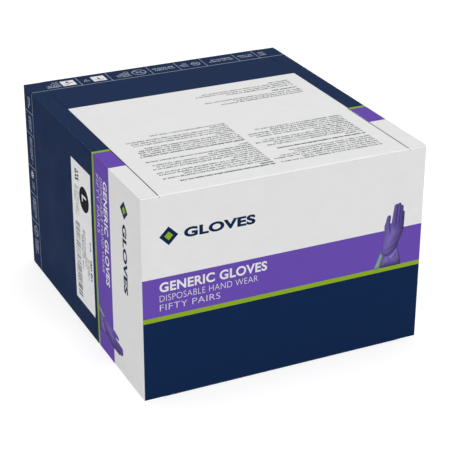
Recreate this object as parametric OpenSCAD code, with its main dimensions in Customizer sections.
// Printed folding carton of individually pouched exam gloves.
// A seal-end carton: four wall panels and eight closing flaps folded from one
// board, glued along a seam tab and at the closing flaps, and filled with two
// stacks of peel pouches that each hold one folded wallet with a pair of gloves.
// Millimetres. +Z up, +X to the right, +Y to the rear. The origin is the centre
// of the base.

/* [Carton] */
// Outside width of the carton, left to right
box_w = 254; // [250:1:300]
// Outside depth of the carton, front to rear
box_d = 279; // [272:1:320]
// Outside height of the carton
box_h = 178; // [172:1:220]
// Thickness of the coated board
board = 0.5; // [0.4:0.05:0.7]
// Thickness of the hot-melt glue film between two glued layers
glue = 0.1; // [0.08:0.01:0.14]

/* [Closing flaps] */
// How far each long flap stops short of the carton's sides
inset = 16; // [14:1:22]
// Length of the printed top flap that folds back from the front panel
front_flap_len = 204; // [160:1:206]
// Length of the flap that folds forward from the back panel
back_flap_len = 140; // [110:1:144]
// Length of the side dust flaps, from the fold to the tip
dust_len = 95; // [60:1:110]
// Share of the front flap's turn that the back flap makes
back_share = 0.85; // [0.7:0.05:0.85]
// Share of the front flap's turn that the dust flaps make
dust_share = 0.8; // [0.6:0.05:0.8]

/* [Seam] */
// Width of the glued seam tab
tab_w = 22; // [16:1:30]

/* [Size label] */
// Width of the stick-on label, front to rear
label_w = 46; // [30:1:60]
// Height of the stick-on label
label_h = 133; // [90:1:140]
// Distance of the label's front edge from the front face
label_from_front = 109; // [80:1:130]
// Height of the label's lower edge above the base
label_from_base = 22; // [16:1:30]

/* [Contents] */
// Number of pouches in each of the two stacks
pouches = 25; // [15:1:25]
// Height that one pouch takes in the stack
pouch_pitch = 6.6; // [5.6:0.1:6.8]
// Width of one pouch
pouch_w = 122; // [110:1:123]
// Length of one pouch
pouch_l = 266; // [250:1:268]
// Thickness of the pouch's paper lid and film tray
web = 0.2; // [0.15:0.05:0.3]
// Width of the sealed border along the pouch's long sides
seal_side = 8; // [6:1:10]
// Width of the sealed border at the pouch's ends
seal_end = 14; // [10:1:18]

/* [Hidden] */
left_x = -box_w / 2;
right_x = box_w / 2;
front_y = -box_d / 2;
rear_y = box_d / 2;
layer_pitch = board + glue;      // level of one board layer to the next

navy = [0.05, 0.13, 0.27];
print_white = [0.9, 0.9, 0.9];
tab_grey = [0.8, 0.78, 0.74];
glue_amber = [0.85, 0.78, 0.6];
label_white = [0.95, 0.95, 0.97];
film_tint = [0.86, 0.9, 0.94];
paper_white = [0.93, 0.94, 0.93];
wallet_white = [0.96, 0.96, 0.94];
glove_purple = [0.36, 0.25, 0.62];

// ---- wall panels ------------------------------------------------------

long_flap_w = box_w - 2 * inset;       // width of the front and back flaps
dust_root = box_d - 2 * board - 1.0;   // dust flap's fold line, between the walls

// Extrudes a section drawn in (Y, Z) from x = 0 to x = len
module along_x(len) {
    rotate([90, 0, 90])
        linear_extrude(height = len) children();
}

// A wall plate of length len along X, its outer face on y = 0 and its inner
// face on y = board, standing on z = 0. Both upright edges are mitred at 45
// degrees, so that neighbouring walls share the fold line on the outside.
module wall_plate(len) {
    linear_extrude(height = box_h)
        polygon([[-len / 2, 0], [len / 2, 0], [len / 2 - board, board],
            [-len / 2 + board, board]]);
}

// Wedge along X that trims a plate's upper edge to a 45 degree mitre: the fold
// line is at y = 0, z = 0 and the plate below it keeps its outer face.
module mitre_wedge(len) {
    reach = 3 * board;
    overshoot = 1;
    translate([-len / 2, 0, 0])
        along_x(len)
            polygon([[0, 0], [reach, -reach], [reach, overshoot], [0, overshoot]]);
}

// A wall with a flap of width fold_w on its top edge and its bottom edge.
// Beside the flaps the wall keeps its full height, square cut, so that the
// carton's corners are closed.
module wall(len, fold_w) {
    difference() {
        wall_plate(len);
        translate([0, 0, box_h]) mitre_wedge(fold_w);
        mirror([0, 0, 1]) mitre_wedge(fold_w);
    }
}

module front_panel() {
    color(print_white)
        translate([0, front_y, 0]) wall(box_w, long_flap_w);
}

module back_panel() {
    color(navy)
        translate([0, rear_y, 0]) rotate([0, 0, 180]) wall(box_w, long_flap_w);
}

module left_panel() {
    color(navy)
        translate([left_x, 0, 0]) rotate([0, 0, -90]) wall(box_d, dust_root);
}

module right_panel() {
    color(navy)
        translate([right_x, 0, 0]) rotate([0, 0, 90]) wall(box_d, dust_root);
}

// ---- placing the closures ---------------------------------------------

// Flaps and their glue are built as a top closure with its outer face on z = 0.
module at_top() {
    translate([0, 0, box_h]) children();
}

module at_bottom() {
    mirror([0, 0, 1]) children();
}

// Places a part that reaches inwards along +X from a side wall's outer face at
// x = 0. side is -1 for left and 1 for right.
module on_side(side) {
    translate([side * box_w / 2, 0, 0])
        mirror([side > 0 ? 1 : 0, 0, 0]) children();
}

// Section of a flap that is folded in at (0, 0) and reaches to len. It dips by
// depth over the length dip_run, which ends at dip_end, to pass under the flap
// that closes over it. The bends of the inner face are shifted towards the
// fold, so that the dipping board keeps its thickness.
function flap_section(len, dip_end, dip_run, depth) =
    depth == 0 ? [[0, 0], [board, -board], [len, -board], [len, 0]] :
    let (shift = board * tan(atan2(depth, dip_run) / 2))
    [[0, 0], [board, -board], [dip_end - dip_run - shift, -board],
        [dip_end - shift, -depth - board], [len, -depth - board],
        [len, -depth], [dip_end, -depth], [dip_end - dip_run, 0]];

// Extrudes a flap's outline, seen from above, through its full dipped height
module flap_blank(depth) {
    overshoot = 1;
    translate([0, 0, -depth - board - overshoot])
        linear_extrude(height = depth + board + 2 * overshoot) children();
}

// ---- long closing flaps -----------------------------------------------

long_dip_run = 1.6;
long_clip = 2;                   // clipped free corners of the long flaps
free_edge_gap = 0.4;             // from the front flap's free edge to the dip
min_lap = 20;                    // least length of back flap beyond the dip
// Distance from the rear face at which the back flap has dipped
back_dip_end = min(box_d - front_flap_len - free_edge_gap, back_flap_len - min_lap);

// A flap folded in from a wall whose outer face is y = 0: it reaches to
// y = len, its outer face is z = 0 and its fold line is the X axis. With a
// depth, it dips ahead of y = dip_end.
module long_flap(len, dip_end = 0, depth = 0) {
    half = long_flap_w / 2;
    intersection() {
        translate([-half, 0, 0])
            along_x(long_flap_w)
                polygon(flap_section(len, dip_end, long_dip_run, depth));
        flap_blank(depth)
            polygon([[-half, -1], [half, -1],
                [half, len - long_clip], [half - long_clip, len],
                [-half + long_clip, len], [-half, len - long_clip]]);
    }
}

module front_flap() {
    translate([0, front_y, 0]) long_flap(front_flap_len);
}

module back_flap() {
    translate([0, rear_y, 0]) rotate([0, 0, 180])
        long_flap(back_flap_len, back_dip_end, layer_pitch);
}

module top_front_flap() {
    color(print_white) at_top() front_flap();
}

module top_back_flap() {
    color(navy) at_top() back_flap();
}

module bottom_front_flap() {
    color(print_white) at_bottom() front_flap();
}

module bottom_back_flap() {
    color(navy) at_bottom() back_flap();
}

// ---- dust flaps -------------------------------------------------------

strip = inset - 0.25;            // edge strip that stays outside the long flaps
dust_dip_run = 0.8;              // dip at the strip's inner edge
dust_clip = 8;                   // clipped tip corners
margin = 2.0;                    // clearance beside the swept flaps

// Front and rear edge of a dust flap at distance s from its fold line, drawn
// in so that the flap stays under the long flaps while they all turn together
function dust_front(s) = front_y + dust_share * s + margin;
function dust_rear(s) = rear_y - dust_share / back_share * s - margin;

// A dust flap folded in from a wall whose outer face is x = 0, towards +X.
// Its fold line is the Y axis and its edge strip's outer face is z = 0. At the
// strip's inner edge it dips by two layers, under the long flaps. Front is -Y.
module dust_flap() {
    half = dust_root / 2;
    depth = 2 * layer_pitch;
    shoulder = dust_len - dust_clip;
    intersection() {
        translate([0, half, 0])
            rotate([90, 0, 0])
                linear_extrude(height = dust_root)
                    polygon(flap_section(dust_len, strip, dust_dip_run, depth));
        flap_blank(depth)
            polygon([[-1, -half], [strip, -half],
                [strip, dust_front(strip)],
                [shoulder, dust_front(shoulder)],
                [dust_len, dust_front(dust_len) + dust_clip],
                [dust_len, dust_rear(dust_len) - dust_clip],
                [shoulder, dust_rear(shoulder)],
                [strip, dust_rear(strip)], [strip, half], [-1, half]]);
    }
}

module top_left_flap() {
    color(navy) at_top() on_side(-1) dust_flap();
}

module top_right_flap() {
    color(navy) at_top() on_side(1) dust_flap();
}

module bottom_left_flap() {
    color(navy) at_bottom() on_side(-1) dust_flap();
}

module bottom_right_flap() {
    color(navy) at_bottom() on_side(1) dust_flap();
}

// ---- seam -------------------------------------------------------------

flap_stack = 3 * layer_pitch;    // height taken by three flap layers
tab_end_gap = 3;                 // from the flap layers to the tab's root
tab_taper = 6;                   // slope of the tab's ends over its width
seam_glue_w = 3;
seam_glue_end_gap = 16;          // from the flap layers to the glue lines
seam_glue_x = [7, 14];           // centre lines, from the tab's root

// The tab folds on from the left wall and is glued inside the back wall.
module seam_tab() {
    root_z = flap_stack + tab_end_gap;
    tip_z = root_z + tab_taper;
    color(tab_grey)
        translate([left_x + board, rear_y - board - layer_pitch, 0])
            rotate([90, 0, 0]) mirror([0, 0, 1])
                linear_extrude(height = board)
                    polygon([[0, root_z], [tab_w, tip_z],
                        [tab_w, box_h - tip_z], [0, box_h - root_z]]);
}

module seam_glue() {
    end_z = flap_stack + seam_glue_end_gap;
    color(glue_amber)
        for (x = seam_glue_x)
            translate([left_x + board + x - seam_glue_w / 2, rear_y - layer_pitch, end_z])
                cube([seam_glue_w, glue, box_h - 2 * end_z]);
}

// ---- glue between the flaps -------------------------------------------

flap_glue_w = 5;
back_glue_len = 34;
back_glue_x = [-72, -24, 24, 72];
back_glue_from_edge = 26;        // back flap's free edge to the strips' centres
dust_glue_x = [12, 34];          // from the long flaps' side edges
// Ends of the dust flaps' glue, as distances from the rear face
dust_glue_near = back_dip_end + 4;
dust_glue_far = min(back_dip_end + 38, back_flap_len - 2);

// A strip of glue with round ends, along Y
module glue_strip(len) {
    straight = len - flap_glue_w;
    rotate([0, 0, 90])
        linear_extrude(height = glue) {
            square([straight, flap_glue_w], center = true);
            for (end = [-1, 1])
                translate([end * straight / 2, 0]) circle(d = flap_glue_w, $fn = 32);
        }
}

// Strips between a dust flap and the back flap
module dust_glue(side) {
    on_side(side)
        for (x = dust_glue_x)
            translate([inset + x, rear_y - (dust_glue_near + dust_glue_far) / 2,
                -2 * layer_pitch])
                glue_strip(abs(dust_glue_far - dust_glue_near));
}

// Strips between the back flap and the front flap
module back_glue() {
    for (x = back_glue_x)
        translate([x, rear_y - back_flap_len + back_glue_from_edge, -layer_pitch])
            glue_strip(back_glue_len);
}

module top_left_glue() {
    color(glue_amber) at_top() dust_glue(-1);
}

module top_right_glue() {
    color(glue_amber) at_top() dust_glue(1);
}

module top_back_glue() {
    color(glue_amber) at_top() back_glue();
}

module bottom_glue() {
    color(glue_amber)
        at_bottom() {
            back_glue();
            for (side = [-1, 1]) dust_glue(side);
        }
}

// ---- label ------------------------------------------------------------

label_t = 0.1;
label_corner = 2;

// Rectangle w by l with round corners of radius r, centred
module rounded_rect(w, l, r) {
    square([w - 2 * r, l], center = true);
    square([w, l - 2 * r], center = true);
    for (sx = [-1, 1], sy = [-1, 1])
        translate([sx * (w / 2 - r), sy * (l / 2 - r)])
            circle(r = r, $fn = 48);
}

// Stuck on the outside of the left panel
module size_label() {
    color(label_white)
        translate([left_x - label_t, front_y + label_from_front + label_w / 2,
            label_from_base + label_h / 2])
            along_x(label_t) rounded_rect(label_w, label_h, label_corner);
}

// ---- pouches ----------------------------------------------------------

floor_z = flap_stack - glue + 0.1;         // level the pouches rest on
fill = pouch_pitch - 0.2;                  // thickness of a filled pouch
n_plain = pouches - 1;                     // pouches under the top one of a stack
top_z = floor_z + n_plain * pouch_pitch;   // underside of the top pouches
pouch_corner = 2;
tray_corner = 12;
tray_w = pouch_w - 2 * seal_side;
tray_l = pouch_l - 2 * seal_end;
wallet_w = tray_w - 8;
wallet_l = tray_l - 14;
wallet_base = web + 0.1;                   // wallet's underside in its pouch
plain_wallet_t = 1.2;

// A flat sheet of the pouch's full outline
module pouch_sheet() {
    linear_extrude(height = web) rounded_rect(pouch_w, pouch_l, pouch_corner);
}

// Film tray: a pocket formed downwards, with a flat border for the seal
module film_tray() {
    difference() {
        union() {
            translate([0, 0, fill - 2 * web]) pouch_sheet();
            linear_extrude(height = fill - web)
                rounded_rect(tray_w, tray_l, tray_corner);
        }
        translate([0, 0, web])
            linear_extrude(height = fill)
                rounded_rect(tray_w - 2 * web, tray_l - 2 * web, tray_corner - web);
    }
}

// Paper lid, sealed to the tray's border
module paper_lid() {
    translate([0, 0, fill - web]) pouch_sheet();
}

// Folded wallet with its pair of gloves, as one plain block
module plain_wallet() {
    translate([-wallet_w / 2, -wallet_l / 2, wallet_base])
        cube([wallet_w, wallet_l, plain_wallet_t]);
}

// Places a piece in a pouch whose underside is at height z. side is -1 for the
// left stack and 1 for the right one.
module in_pouch(side, z) {
    translate([side * box_w / 4, 0, z]) children();
}

// Repeats one piece for every plain pouch of a stack
module stacked(side) {
    for (i = [0:n_plain - 1])
        in_pouch(side, floor_z + i * pouch_pitch) children();
}

module stack_trays(side) {
    color(film_tint) stacked(side) film_tray();
}

module stack_lids(side) {
    color(paper_white) stacked(side) paper_lid();
}

module stack_wallets(side) {
    color(paper_white) stacked(side) plain_wallet();
}

module top_tray(side) {
    color(film_tint) in_pouch(side, top_z) film_tray();
}

module top_lid(side) {
    color(paper_white) in_pouch(side, top_z) paper_lid();
}

// ---- wallet and gloves of the top pouch -------------------------------

leaf = 0.2;                      // thickness of a wallet leaf
glove_t = 0.6;
glove_gap = 0.2;                 // free height below and above a glove
leaf_gap = glove_t + 2 * glove_gap;
leaf_pitch = leaf + leaf_gap;
glove_offset = [1, -6];          // glove's origin from the pouch's centre

// A lower, a middle and an upper leaf joined by the fold along the left edge
module wallet(side) {
    color(wallet_white)
        in_pouch(side, top_z)
            translate([-wallet_w / 2, -wallet_l / 2, wallet_base]) {
                for (i = [0:2])
                    translate([0, 0, i * leaf_pitch])
                        cube([wallet_w, wallet_l, leaf]);
                cube([leaf, wallet_l, 3 * leaf + 2 * leaf_gap]);
            }
}

// Fingers from the thumb's side on: root x, root y, turn, width, length
fingers = [
    [-27, 36, 5, 17, 50],
    [-9, 38, 1.5, 17, 60],
    [9, 38, -1.5, 17, 57],
    [27, 34, -6, 16, 44]
];
thumb = [-20, -30, 26, 19, 60];

// One finger with a round tip, from a row of the form above
module finger(row) {
    w = row[3];
    len = row[4];
    translate([row[0], row[1]]) rotate([0, 0, row[2]]) {
        translate([-w / 2, 0]) square([w, len]);
        translate([0, len]) circle(d = w, $fn = 32);
    }
}

// Flat outline of one glove, fingers towards +Y, thumb towards -X, with the
// cuff turned back
module glove_outline() {
    // palm
    translate([-36, -40]) square([72, 82]);
    // cuff
    translate([-33, -110]) square([66, 72]);
    for (row = fingers) finger(row);
    // thumb, cut straight at its outer side
    intersection() {
        finger(thumb);
        translate([-47, -60]) square([47, 120]);
    }
}

// level is 0 for the lower glove and 1 for the upper one, which is mirrored
module glove(side, level) {
    color(glove_purple)
        in_pouch(side, top_z + wallet_base + leaf + glove_gap + level * leaf_pitch)
            translate(glove_offset)
                mirror([level, 0, 0])
                    linear_extrude(height = glove_t) glove_outline();
}

// -----------------------------------------------------------------------

front_panel();
right_panel();
back_panel();
left_panel();
seam_tab();
seam_glue();
bottom_front_flap();
bottom_back_flap();
bottom_left_flap();
bottom_right_flap();
bottom_glue();
top_front_flap();
top_back_flap();
top_left_flap();
top_right_flap();
top_back_glue();
top_left_glue();
top_right_glue();
size_label();
stack_trays(-1);  // left_stack_trays
stack_lids(-1);  // left_stack_lids
stack_wallets(-1);  // left_stack_wallets
stack_trays(1);  // right_stack_trays
stack_lids(1);  // right_stack_lids
stack_wallets(1);  // right_stack_wallets
top_tray(-1);  // left_pouch_tray
top_lid(-1);  // left_pouch_lid
wallet(-1);  // left_pouch_wallet
glove(-1, 0);  // left_pouch_lower_glove
glove(-1, 1);  // left_pouch_upper_glove
top_tray(1);  // right_pouch_tray
top_lid(1);  // right_pouch_lid
wallet(1);  // right_pouch_wallet
glove(1, 0);  // right_pouch_lower_glove
glove(1, 1);  // right_pouch_upper_glove
